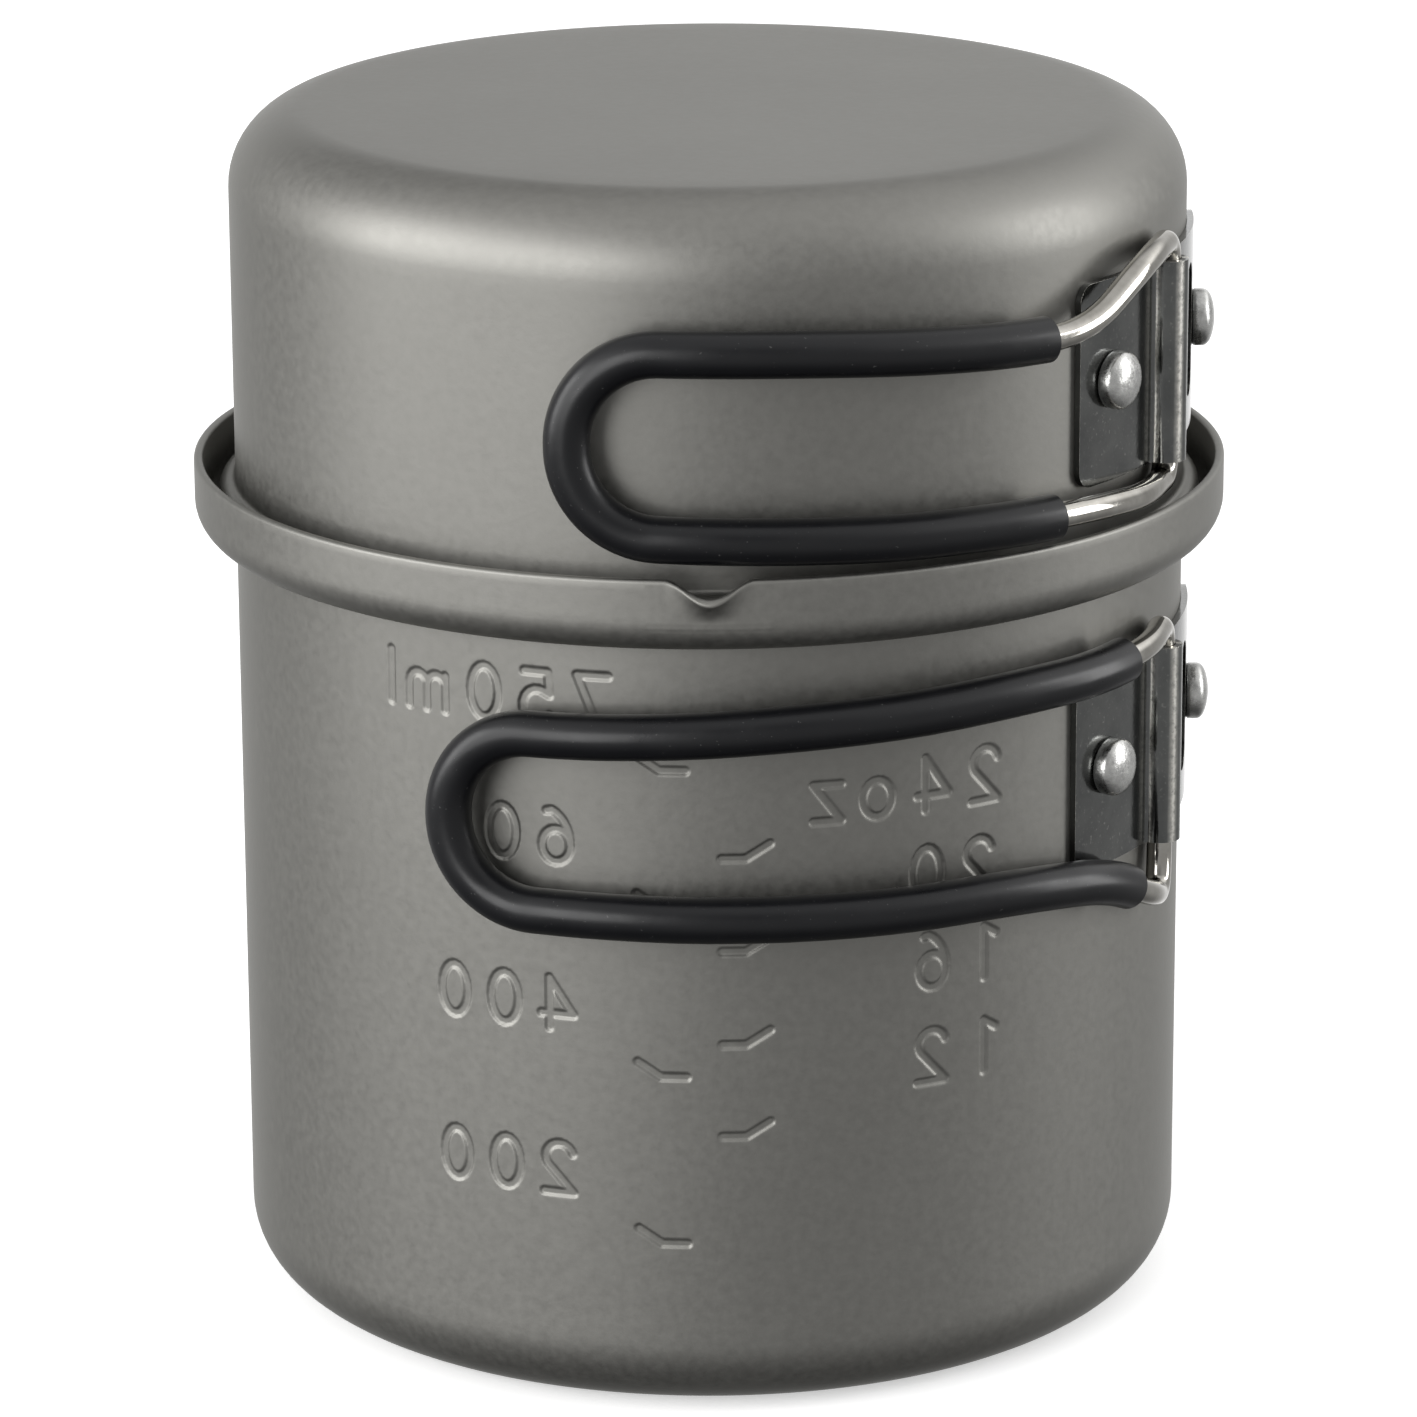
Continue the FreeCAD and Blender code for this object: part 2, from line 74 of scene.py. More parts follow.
def add_object(name, mesh_form):
    """Turn a finished bmesh into an object at the origin."""
    mesh = bpy.data.meshes.new(name)
    mesh_form.to_mesh(mesh)
    mesh_form.free()
    thing = bpy.data.objects.new(name, mesh)
    bpy.context.scene.collection.objects.link(thing)
    return thing


def new_material(name, roughness, metallic):
    """An empty node material: its shader, its node tree and its object coordinates."""
    material = bpy.data.materials.new(name)
    material.use_nodes = True
    tree = material.node_tree
    shader = tree.nodes["Principled BSDF"]
    shader.inputs["Roughness"].default_value = roughness
    shader.inputs["Metallic"].default_value = metallic
    place = tree.nodes.new("ShaderNodeTexCoord").outputs["Object"]
    return material, tree, shader, place


def grain(tree, place, scale, detail=3.0, stretch=(1.0, 1.0, 1.0), rough=0.6):
    """A noise value over the object, stretched along its axes."""
    mapping = tree.nodes.new("ShaderNodeMapping")
    mapping.inputs["Scale"].default_value = stretch
    tree.links.new(place, mapping.inputs["Vector"])
    texture = tree.nodes.new("ShaderNodeTexNoise")
    texture.inputs["Scale"].default_value = scale
    texture.inputs["Detail"].default_value = detail
    texture.inputs["Roughness"].default_value = rough
    tree.links.new(mapping.outputs["Vector"], texture.inputs["Vector"])
    return texture.outputs["Fac"]


def ramp(tree, value, stops):
    """A colour ramp over a value: stops of (position, colour)."""
    node = tree.nodes.new("ShaderNodeValToRGB")
    tree.links.new(value, node.inputs["Fac"])
    elements = node.color_ramp.elements
    while len(elements) < len(stops):
        elements.new(0.5)
    for element, (position, colour) in zip(elements, stops):
        element.position = position
        element.color = (*colour, 1.0)
    return node.outputs["Color"]


def remap(tree, value, low, high, to_low, to_high, smooth=False):
    """A value moved from one range to another, and held to it."""
    node = tree.nodes.new("ShaderNodeMapRange")
    node.interpolation_type = "SMOOTHSTEP" if smooth else "LINEAR"
    for socket, number in zip(("From Min", "From Max", "To Min", "To Max"),
                              (low, high, to_low, to_high)):
        node.inputs[socket].default_value = number
    tree.links.new(value, node.inputs["Value"])
    return node.outputs["Result"]


def maths(tree, operation, *values):
    """A Math node over numbers and sockets."""
    node = tree.nodes.new("ShaderNodeMath")
    node.operation = operation
    for socket, value in zip(node.inputs, values):
        if isinstance(value, (int, float)):
            socket.default_value = value
        else:
            tree.links.new(value, socket)
    return node.outputs["Value"]


def bump(tree, shader, heights):
    """Stack bumps on a shader: (height value, strength, distance in metres)."""
    normal = None
    for value, strength, distance in heights:
        node = tree.nodes.new("ShaderNodeBump")
        node.inputs["Strength"].default_value = strength
        node.inputs["Distance"].default_value = distance
        tree.links.new(value, node.inputs["Height"])
        if normal:
            tree.links.new(normal, node.inputs["Normal"])
        normal = node.outputs["Normal"]
    tree.links.new(normal, shader.inputs["Normal"])


floor_form = bmesh.new()
bmesh.ops.create_grid(floor_form, x_segments=1, y_segments=1, size=3.0)
floor = add_object("floor", floor_form)
floor_material, floor_tree, floor_shader, floor_place = new_material("pale_floor", 0.9, 0.0)
floor_shade = grain(floor_tree, floor_place, 3.0)
floor_tree.links.new(
    ramp(floor_tree, floor_shade, [(0.0, (0.86, 0.86, 0.86)), (1.0, (0.9, 0.9, 0.9))]),
    floor_shader.inputs["Base Color"],
)
floor_shader.inputs["Emission Color"].default_value = (1.0, 1.0, 1.0, 1.0)
floor_shader.inputs["Emission Strength"].default_value = 0.45
floor.data.materials.append(floor_material)
floor.visible_glossy = False
floor.visible_diffuse = False
floor.visible_shadow = False


LIGHT_REACH = 1.2
LIGHT_HEIGHT = 0.35
LIGHT_AIM = Vector((0.0, 0.0, 0.07))


def soft_light(name, azimuth, size, power):
    """A tall soft light at an azimuth from the front, which looks at the set."""
    data = bpy.data.lights.new(name, "AREA")
    data.shape = "RECTANGLE"
    data.size, data.size_y = size
    data.energy = power
    angle = math.radians(azimuth)
    place = Vector((math.sin(angle) * LIGHT_REACH, -math.cos(angle) * LIGHT_REACH, LIGHT_HEIGHT))
    aim = LIGHT_AIM - place
    thing = bpy.data.objects.new(name, data)
    thing.location = place
    thing.rotation_euler = aim.to_track_quat("-Z", "Y").to_euler()
    bpy.context.scene.collection.objects.link(thing)


for name, azimuth, size, power in (("key_softbox", -80, (0.5, 0.8), 6.3),
                                   ("left_softbox", -55, (0.5, 0.8), 3.4),
                                   ("front_softbox", -30, (0.5, 0.8), 5.4),
                                   ("right_softbox", 90, (0.4, 0.8), 6.0)):
    soft_light(name, azimuth, size, power)

# The room: bright behind the set near the table's height, paler panels high
# on its sides, and dark above the camera and under the table.
world = bpy.data.worlds.new("studio")
world.use_nodes = True
bpy.context.scene.world = world
room = world.node_tree
direction = room.nodes.new("ShaderNodeTexCoord").outputs["Generated"]
split = room.nodes.new("ShaderNodeSeparateXYZ")
room.links.new(direction, split.inputs["Vector"])
east, north, up = split.outputs
level = maths(room, "SQRT", maths(room, "ADD", maths(room, "MULTIPLY", east, east),
                                  maths(room, "MULTIPLY_ADD", north, north, 1e-6)))
above_low = remap(room, up, 0.2, 0.55, 0.0, 1.0, smooth=True)
ceiling = remap(room, up, 0.55, 0.95, 0.0, 1.0, smooth=True)
over_table = remap(room, up, -0.95, -0.25, 0.2, 1.0, smooth=True)
low_band = maths(room, "MULTIPLY", maths(room, "SUBTRACT", 1.0, above_low), over_table)
side_band = maths(room, "SUBTRACT", above_low, ceiling)


def panel(azimuth, sharpness, band, brightness):
    """A soft bright patch of the room round an azimuth, within a band of heights."""
    angle = math.radians(azimuth)
    sideways = maths(room, "MULTIPLY", east, math.sin(angle))
    towards = maths(room, "MULTIPLY_ADD", north, -math.cos(angle), sideways)
    facing = maths(room, "MAXIMUM", maths(room, "DIVIDE", towards, level), 0.0)
    spread = maths(room, "MULTIPLY", maths(room, "POWER", facing, sharpness), band)
    return maths(room, "MULTIPLY", spread, brightness)


glow = maths(room, "MULTIPLY", low_band, 0.47)
glow = maths(room, "MULTIPLY_ADD", ceiling, 0.8, glow)
for azimuth, sharpness, band, brightness in ((180, 8, low_band, 0.83), (-60, 3, side_band, 1.45),
                                             (60, 3, side_band, 0.8), (120, 3, side_band, 1.63),
                                             (-120, 3, side_band, 0.44)):
    glow = maths(room, "ADD", glow, panel(azimuth, sharpness, band, brightness))
room.links.new(glow, room.nodes["Background"].inputs["Color"])


# ---------------------------------------------------------------------------
# Pot. Deep-drawn aluminium, 1 mm thick, hard-anodised a matt warm grey. The
# rim steps out to hold the pan's edge, a small pouring lip is pressed into
# it, and the volume marks are pressed into the outside of the wall.

pot_low, pot_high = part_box("pot_body")
WALL = 56.6 * MM
GAUGE = 1.0 * MM
RIM_GAUGE = 1.1 * MM
RIM = pot_high.x
RIM_TOP = pot_high.z
RIM_STEP = RIM_TOP - 8.85 * MM
RIM_BEND = 3.85 * MM
BASE_BEND = 9.0 * MM
SPIN_STEPS = 288


def arc_points(centre, radius, start, end, steps):
    """Points round an arc in the (r, z) plane, angles in degrees."""
    return [
        Vector((centre[0] + radius * math.cos(math.radians(start + (end - start) * k / steps)),
                0.0,
                centre[1] + radius * math.sin(math.radians(start + (end - start) * k / steps))))
        for k in range(steps + 1)
    ]


def line_points(start, end, steps):
    """Inner points of a straight stretch in the (r, z) plane."""
    a = Vector((start[0], 0.0, start[1]))
    b = Vector((end[0], 0.0, end[1]))
    return [a.lerp(b, k / steps) for k in range(1, steps)]


def spun(profile):
    """Spin an (r, z) profile once round Z and close it at its poles."""
    form = bmesh.new()
    points = [form.verts.new(point) for point in profile]
    edges = [form.edges.new(pair) for pair in zip(points, points[1:])]
    bmesh.ops.spin(form, geom=points + edges, cent=(0, 0, 0), axis=(0, 0, 1),
                   angle=2 * math.pi, steps=SPIN_STEPS, use_merge=True)
    bmesh.ops.remove_doubles(form, verts=form.verts, dist=1e-6)
    bmesh.ops.recalc_face_normals(form, faces=form.faces)
    return form


def pot_profile():
    """The pot's outline from the base's centre, outside, over the rim, and back inside."""
    inner = WALL - GAUGE
    inner_bend = BASE_BEND - GAUGE
    rim_inner = RIM - RIM_GAUGE
    rim_inner_bend = RIM_BEND - RIM_GAUGE
    shelf = RIM_STEP + RIM_GAUGE
    edge = 0.42 * MM
    foot = 0.5 * MM
    shoulder = 0.7 * MM
    points = [Vector((0, 0, 0))]
    points += line_points((0, 0), (WALL - BASE_BEND, 0), 12)
    points += arc_points((WALL - BASE_BEND, BASE_BEND), BASE_BEND, -90, 0, 14)
    points += line_points((WALL, BASE_BEND), (WALL, RIM_STEP - foot), 60)
    points += arc_points((WALL + foot, RIM_STEP - foot), foot, 180, 90, 4)
    points += arc_points((RIM - RIM_BEND, RIM_STEP + RIM_BEND), RIM_BEND, -90, 0, 10)
    points += line_points((RIM, RIM_STEP + RIM_BEND), (RIM, RIM_TOP - edge), 6)
    points += arc_points((RIM - edge, RIM_TOP - edge), edge, 0, 90, 4)
    points += arc_points((rim_inner + edge, RIM_TOP - edge), edge, 90, 180, 4)
    points += line_points((rim_inner, RIM_TOP - edge), (rim_inner, shelf + rim_inner_bend), 6)
    points += arc_points((rim_inner - rim_inner_bend, shelf + rim_inner_bend),
                         rim_inner_bend, 0, -90, 8)
    points += arc_points((inner + shoulder, shelf - shoulder), shoulder, 90, 180, 5)
    points += line_points((inner, shelf - shoulder), (inner, BASE_BEND), 30)
    points += arc_points((inner - inner_bend, GAUGE + inner_bend), inner_bend, 0, -90, 12)
    points += line_points((inner - inner_bend, GAUGE), (0, GAUGE), 10)
    points.append(Vector((0, 0, GAUGE)))
    return points


def around(point):
    """A point's azimuth from the front in degrees, its height and its radius."""
    azimuth = math.degrees(math.atan2(point.x, -point.y))
    return azimuth, point.z, math.hypot(point.x, point.y)


def at(azimuth, height, radius):
    """The point at an azimuth from the front in degrees, a height and a radius."""
    angle = math.radians(azimuth)
    return Vector((radius * math.sin(angle), -radius * math.cos(angle), height))


def refine(form, wanted, rounds):
    """Split the edges round the vertices that are wanted, a few times over."""
    for round_number in range(rounds):
        near = [vert for vert in form.verts if wanted(vert.co, round_number)]
        edges = {edge for vert in near for edge in vert.link_edges}
        bmesh.ops.subdivide_edges(form, edges=list(edges), cuts=1, use_grid_fill=True)


# The pouring lip: the rim bends out and down in a rounded V.
LIP_HALF = 5.3 * MM
LIP_FOOT = RIM_TOP - 5.0 * MM
LIP_CLEARING = 1.5 * MM
lip_line = [Vector((RIM - 0.55 * MM, LIP_FOOT)),
            Vector((RIM - 0.55 * MM, LIP_FOOT + 1.4 * MM)),
            Vector((RIM + 1.1 * MM, RIM_TOP - 2.2 * MM))]


def press_lip(form):
    """Bend the rim's sheet along a quadratic curve near the front."""
    start, middle, end = lip_line
    for vert in form.verts:
        azimuth, height, radius = around(vert.co)
        across = math.radians(azimuth) * RIM
        if height < LIP_FOOT or abs(across) >= LIP_HALF or radius < start.x - LIP_CLEARING:
            continue
        t = min((height - LIP_FOOT) / (RIM_TOP - LIP_FOOT), 1.0)
        line = start.lerp(middle, t).lerp(middle.lerp(end, t), t)
        along = (middle.lerp(end, t) - start.lerp(middle, t)).normalized()
        outward = Vector((along.y, -along.x))
        bent = line + outward * (radius - start.x)
        share = 0.5 + 0.5 * math.cos(math.pi * across / LIP_HALF)
        here = Vector((radius, height)).lerp(bent, share)
        vert.co = at(azimuth, here.y, here.x)


# Each mark is a set of strokes on a 4 x 6 grid, read from inside the pot, so
# that it is mirrored outside. A stroke is a chain of points.
def oval(centre_x, centre_y, half_x, half_y, start=0, end=360, steps=20):
    return [
        (centre_x + half_x * math.cos(math.radians(start + (end - start) * k / steps)),
         centre_y + half_y * math.sin(math.radians(start + (end - start) * k / steps)))
        for k in range(steps + 1)
    ]


GLYPHS = {
    "0": [oval(2, 3, 1.75, 3)],
    "1": [[(0.8, 5.0), (2.4, 6), (2.4, 0)]],
    "2": [oval(2, 4.35, 1.7, 1.65, 165, -35, 12) + [(0.3, 0), (3.9, 0)]],
    "4": [[(3.0, 0), (3.0, 6), (0.1, 1.7), (4.0, 1.7)]],
    "5": [[(3.5, 6), (0.7, 6), (0.5, 3.4)] + oval(2, 2, 1.75, 2, 125, -150, 12)],
    "6": [[(3.1, 6)] + oval(3.6, 2.2, 3.3, 4.2, 110, 175, 6), oval(2, 1.95, 1.7, 1.95)],
    "7": [[(0.2, 6), (3.8, 6), (1.4, 0)]],
    "m": [[(0.6, 0), (0.6, 4)]]
         + [[(x, 3)] + oval(x + 1.25, 2.75, 1.25, 1.25, 150, 0, 6) + [(x + 2.5, 0)]
            for x in (0.6, 3.1)],
    "l": [[(1.7, 0), (1.7, 6)]],
    "o": [oval(2, 2.1, 1.7, 2.1)],
    "z": [[(-0.6, 4.2), (2.6, 4.2), (-0.6, 0), (2.6, 0)]],
}
GLYPH_GRID = 6.0
MARK_RADIUS = WALL / MM


def mark_text(text, right_edge, base, height, advance):
    """Strokes of a word in mm on the unrolled wall, mirrored, from its right end."""
    scale = height / GLYPH_GRID
    strokes = []
    for place, letter in enumerate(text):
        for chain in GLYPHS[letter]:
            points = []
            for x, y in chain:
                across = place * advance + x * scale
                points.append(Vector((right_edge - across, base + y * scale)))
            strokes.append(points)
    return strokes


def arc_mm(azimuth):
    """Millimetres along the unrolled wall at an azimuth."""
    return math.radians(azimuth) * MARK_RADIUS


mark_strokes = []
for height in (21.8, 42.1, 62.3, 78.7):
    mark_strokes.append([Vector((arc_mm(a), z)) for a, z in
                         ((-8.6, height + 1.75), (-5.9, height), (-2.9, height))])
for height in (34.9, 46.0, 57.2, 68.3):
    mark_strokes.append([Vector((arc_mm(a), z)) for a, z in
                         ((1.2, height), (4.0, height), (6.8, height + 1.7))])
for text, azimuth, base in (("200", -16.1, 27.2), ("400", -16.1, 47.2), ("600", -16.1, 67.2)):
    mark_strokes += mark_text(text, arc_mm(azimuth), base, 6.0, 6.6)
mark_strokes += mark_text("750ml", arc_mm(-11.5), 83.4, 6.1, 6.6)
for text, azimuth, base, advance in (("24oz", 35.8, 72.2, 7.0), ("20", 35.0, 61.5, 7.0),
                                     ("16", 36.2, 50.8, 7.4), ("12", 36.2, 39.4, 7.4)):
    mark_strokes += mark_text(text, arc_mm(azimuth), base, 6.2, advance)

STROKE_HALF = 0.48
STROKE_WALL = 0.2
STROKE_DEPTH = 0.2 * MM
WALL_BAND = 0.3 * MM
CELL = 2.0
CELL_MARGIN = 2.5
FAR = 99.0
NEAR_MARK = (2.0, 1.3, 0.9)
mark_cells = {}
for chain in mark_strokes:
    for start, end in zip(chain, chain[1:]):
        low_x, high_x = sorted((start.x, end.x))
        low_y, high_y = sorted((start.y, end.y))
        columns = range(math.floor((low_x - CELL_MARGIN) / CELL),
                        math.floor((high_x + CELL_MARGIN) / CELL) + 1)
        rows = range(math.floor((low_y - CELL_MARGIN) / CELL),
                     math.floor((high_y + CELL_MARGIN) / CELL) + 1)
        for i in columns:
            for j in rows:
                mark_cells.setdefault((i, j), []).append((start, end))


def mark_distance(point):
    """Millimetres from a point on the outer wall to the nearest stroke."""
    azimuth, height, radius = around(point)
    if radius < WALL - WALL_BAND:
        return FAR
    spot = Vector((arc_mm(azimuth), height / MM))
    nearest = FAR
    for start, end in mark_cells.get((math.floor(spot.x / CELL), math.floor(spot.y / CELL)), []):
        run = end - start
        share = max(0.0, min(1.0, (spot - start).dot(run) / max(run.length_squared, 1e-9)))
        nearest = min(nearest, (spot - start - run * share).length)
    return nearest


def near_mark(point, round_number):
    """Whether a point needs a finer mesh for a mark's stroke in this round."""
    return mark_distance(point) < NEAR_MARK[round_number]


def near_lip(point, round_number):
    """Whether a point needs a finer mesh for the pouring lip, in any round."""
    azimuth, height, radius = around(point)
    return height > LIP_FOOT - 1.0 * MM and abs(azimuth) < 6.5 and radius > RIM - 2.0 * MM


def press_marks(form):
    """Lower the outer wall inside each stroke, with steep sides and a flat floor."""
    for vert in form.verts:
        azimuth, height, radius = around(vert.co)
        if abs(radius - WALL) > WALL_BAND or not BASE_BEND < height < RIM_STEP:
            continue
        inside = (STROKE_HALF - mark_distance(vert.co)) / STROKE_WALL
        share = max(0.0, min(1.0, inside + 0.5))
        share = share * share * (3 - 2 * share)
        vert.co = at(azimuth, height, WALL - STROKE_DEPTH * share)


pot_form = spun(pot_profile())
# The lip and the marks need a finer mesh than the plain wall has.
refine(pot_form, near_lip, 2)
refine(pot_form, near_mark, 3)
press_lip(pot_form)
press_marks(pot_form)
for face in pot_form.faces:
    face.smooth = True
pot = add_object("pot", pot_form)


def anodised_grey():
    """Matt hard anodising: a metal with a wide soft sheen, a fine mottle and draw lines."""
    material, tree, shader, place = new_material("anodised_grey", 0.5, 1.0)
    mottle = grain(tree, place, 900.0, 4.0)
    cloud = grain(tree, place, 35.0, 3.0)
    draw = grain(tree, place, 260.0, 2.0, (1.0, 1.0, 0.06))
    patchy = maths(tree, "MULTIPLY_ADD", cloud, 0.35, remap(tree, mottle, 0.3, 0.7, 0.25, 0.55))
    colour = ramp(tree, patchy,
                  [(0.2, (0.226, 0.222, 0.207)), (0.9, (0.284, 0.28, 0.262))])
    tree.links.new(colour, shader.inputs["Base Color"])
    tree.links.new(remap(tree, mottle, 0.3, 0.7, 0.46, 0.54), shader.inputs["Roughness"])
    bump(tree, shader, [(mottle, 0.25, 0.06 * MM), (draw, 0.15, 0.05 * MM)])
    return material


anodised = anodised_grey()
pot.data.materials.append(anodised)
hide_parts("pot_body")
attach(pot, "pot")


# ---------------------------------------------------------------------------
# Brackets. Each vessel has one, pressed from 0.8 mm stainless sheet: a blank
# with round corners and an upright slot, bent round the wall, with a hump
# over the two ends of the handle wire. It is mirror clear with fine pits. Its
# colour is painted dark as painted shade for the dark room it mirrors, and
# painted highlights run along its bends and rims.

HINGE_AZIMUTH = 65.2
HINGE_RADIUS = 58.3 * MM
PLATE = 0.8 * MM
PLATE_INSIDE = WALL + 0.05 * MM
HUMP_INSIDE = 1.6 * MM
FOOT_INSIDE = 1.4 * MM
FRONT_WING = 18.0
REAR_WING = 28.0
SLOT_WIDTH = 5.0 * MM
SLOT_HEIGHT = 16.0 * MM
SLOT_AZIMUTH = 14.7
BLANK_CORNER = 2.0 * MM
EASED_EDGE = 0.13 * MM
EDGE_ANGLE = math.radians(40)
HIGHLIGHT_LINES = (30.0, 103.0)
HIGHLIGHT_SPREAD = 10.0

# The hump's foot is an arc that touches the wall's circle and the hump's.
foot_reach = PLATE_INSIDE + FOOT_INSIDE
hump_reach = HUMP_INSIDE + FOOT_INSIDE
foot_x = (foot_reach**2 + HINGE_RADIUS**2 - hump_reach**2) / (2 * HINGE_RADIUS)
foot_y = math.sqrt(foot_reach**2 - foot_x**2)
foot_azimuth = math.degrees(math.atan2(foot_y, foot_x))
hump_half = math.degrees(math.atan2(foot_y, foot_x - HINGE_RADIUS))
foot_turn = hump_half - foot_azimuth
bends = [
    ((0.0, 0.0), PLATE_INSIDE, -FRONT_WING, -foot_azimuth, 16),
    ((foot_x, -foot_y), FOOT_INSIDE, 180 - foot_azimuth, 180 - foot_azimuth - foot_turn, 9),
    ((HINGE_RADIUS, 0.0), HUMP_INSIDE, -hump_half, hump_half, 20),
    ((foot_x, foot_y), FOOT_INSIDE, 180 + hump_half, 180 + foot_azimuth, 9),
    ((0.0, 0.0), PLATE_INSIDE, foot_azimuth, REAR_WING, 26),
]


def bend_length(bend):
    """The length of sheet that one bend takes."""
    centre, radius, start, end, steps = bend
    return radius * math.radians(abs(end - start))


blank_width = sum(bend_length(bend) for bend in bends)


def bent_place(along):
    """Where a distance along the flat blank comes to lie round the wall and the hump."""
    for bend in bends:
        centre, radius, start, end, steps = bend
        length = bend_length(bend)
        if along <= length or bend is bends[-1]:
            angle = math.radians(start + (end - start) * along / length)
            return Vector((centre[0] + radius * math.cos(angle),
                           centre[1] + radius * math.sin(angle)))
        along -= length


def outline(form, centre, width, height, corner, segments):
    """A rectangle's edges with round corners, in the blank's plane."""
    square = bmesh.ops.create_grid(form, x_segments=1, y_segments=1, size=0.5)["verts"]
    bmesh.ops.scale(form, verts=square, vec=(width, height, 1.0))
    bmesh.ops.translate(form, verts=square, vec=centre)
    bmesh.ops.bevel(form, geom=square, offset=corner, offset_type="OFFSET", segments=segments,
                    profile=0.5, affect="VERTICES", material=-1)
    bmesh.ops.delete(form, geom=list(form.faces), context="FACES_ONLY")


def bracket_mesh(name, base, height):
    """Punch the blank, score it along each bend, bend it, thicken it and ease its edges."""
    form = bmesh.new()
    middle = base + height / 2
    outline(form, (blank_width / 2, middle, 0.0), blank_width, height, BLANK_CORNER, 6)
    rear_start = blank_width - bend_length(bends[-1])
    slot_along = rear_start + PLATE_INSIDE * math.radians(SLOT_AZIMUTH - foot_azimuth)
    outline(form, (slot_along, middle, 0.0), SLOT_WIDTH, SLOT_HEIGHT, SLOT_WIDTH * 0.495, 8)
    bmesh.ops.triangle_fill(form, edges=list(form.edges), use_beauty=True)
    start = 0.0
    for bend in bends:
        steps = bend[4]
        for k in range(1, steps + 1):
            score = start + bend_length(bend) * k / steps
            everything = list(form.verts) + list(form.edges) + list(form.faces)
            bmesh.ops.bisect_plane(form, geom=everything, dist=1e-7,
                                   plane_co=(score, 0, 0), plane_no=(1, 0, 0))
        start += bend_length(bend)
    turn = Matrix.Rotation(math.radians(HINGE_AZIMUTH - 90), 4, "Z")
    painted_bend_highlight = form.verts.layers.float.new("painted_bend_highlight")
    hump_middle = blank_width - bend_length(bends[-1]) - bend_length(bends[-2])
    hump_middle -= bend_length(bends[2]) / 2
    for vert in form.verts:
        # A highlight is painted along the four bends of the hump, kept as a weight on each vertex.
        from_middle = math.degrees(abs(vert.co.x - hump_middle) / HUMP_INSIDE)
        nearest = min(abs(from_middle - line) for line in HIGHLIGHT_LINES)
        vert[painted_bend_highlight] = math.exp(-(nearest / HIGHLIGHT_SPREAD) ** 2)
        flat = bent_place(vert.co.x)
        vert.co = turn @ Vector((flat.x, flat.y, vert.co.y))
    # The sheet faces away from the pot before it is given its thickness.
    bmesh.ops.recalc_face_normals(form, faces=form.faces)
    form.normal_update()
    facing_out = sum(face.normal.xy.dot(face.calc_center_median().xy) for face in form.faces)
    if facing_out < 0:
        bmesh.ops.reverse_faces(form, faces=form.faces[:])
    bmesh.ops.solidify(form, geom=form.faces[:], thickness=-PLATE)
    bmesh.ops.recalc_face_normals(form, faces=form.faces)
    for face in form.faces:
        face.smooth = True
    thing = add_object(name, form)
    thing.data.set_sharp_from_angle(angle=EDGE_ANGLE)
    ease = thing.modifiers.new("eased_edges", "BEVEL")
    ease.width = EASED_EDGE
    ease.segments = 2
    ease.limit_method = "ANGLE"
    ease.angle_limit = EDGE_ANGLE
    ease.harden_normals = True
    # The eased edges take the second material, a painted highlight.
    ease.material = 1
    return thing


def bracket_steel():
    """Tumbled stainless sheet, mirror clear and flecked, painted dark for the dark room it
    reflects, with highlights painted along its bends.
    """
    material, tree, shader, place = new_material("bracket_steel", 0.16, 1.0)
    # The weight of the painted bend highlight, read from the mesh.
    rubbed = tree.nodes.new("ShaderNodeAttribute")
    rubbed.attribute_name = "painted_bend_highlight"
    pits = grain(tree, place, 1500.0, 2.0)
    specks = grain(tree, place, 2300.0, 2.0)
    stains = grain(tree, place, 160.0, 4.0)
    flecks = remap(tree, specks, 0.62, 0.74, 0.0, 0.16)
    # The painted bend highlight, broken up by the pits.
    streaks = maths(tree, "MULTIPLY", rubbed.outputs["Fac"],
                    remap(tree, pits, 0.3, 0.6, 0.6, 1.0))
    flecks_and_bend_highlight = maths(tree, "MAXIMUM", streaks, flecks)
    clouding = remap(tree, stains, 0.3, 0.7, 0.0, 0.1)
    # The ramp's dark end is painted shade for the dark room the sheet mirrors, varied by stains;
    # its bright end is the painted bend highlight and the flecks.
    colour = ramp(tree, maths(tree, "ADD", flecks_and_bend_highlight, clouding),
                  [(0.0, (0.11, 0.113, 0.112)), (0.1, (0.17, 0.173, 0.168)),
                   (1.0, (0.86, 0.84, 0.78))])
    tree.links.new(colour, shader.inputs["Base Color"])
    tree.links.new(remap(tree, flecks_and_bend_highlight, 0.0, 1.0, 0.13, 0.38), shader.inputs["Roughness"])
    bump(tree, shader, [(pits, 0.3, 0.04 * MM)])
    return material


def painted_edge_highlight():
    """The bracket's rounded rims, painted bright as a highlight on the cut steel, broken by small
    nicks.
    """
    material, tree, shader, place = new_material("painted_edge_highlight", 0.3, 1.0)
    nicks = grain(tree, place, 1200.0, 3.0)
    colour = ramp(tree, nicks, [(0.35, (0.42, 0.41, 0.38)), (0.6, (0.88, 0.86, 0.8))])
    tree.links.new(colour, shader.inputs["Base Color"])
    bump(tree, shader, [(nicks, 0.3, 0.04 * MM)])
    return material


steel_sheet = bracket_steel()
rim_highlight_material = painted_edge_highlight()
for node, body in (("pot_bracket", "pot"), ("lid_bracket", "lid")):
    low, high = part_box(node)
    bracket = bracket_mesh(node + "_sheet", low.z, high.z - low.z)
    bracket.data.materials.append(steel_sheet)
    bracket.data.materials.append(rim_highlight_material)
    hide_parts(node)
    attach(bracket, body)


# ---------------------------------------------------------------------------
# Rivets. Cold-headed aluminium, tumbled bright: a short flank and a low dome
# outside, a shank through the sheet, and a flat tail inside the vessel.

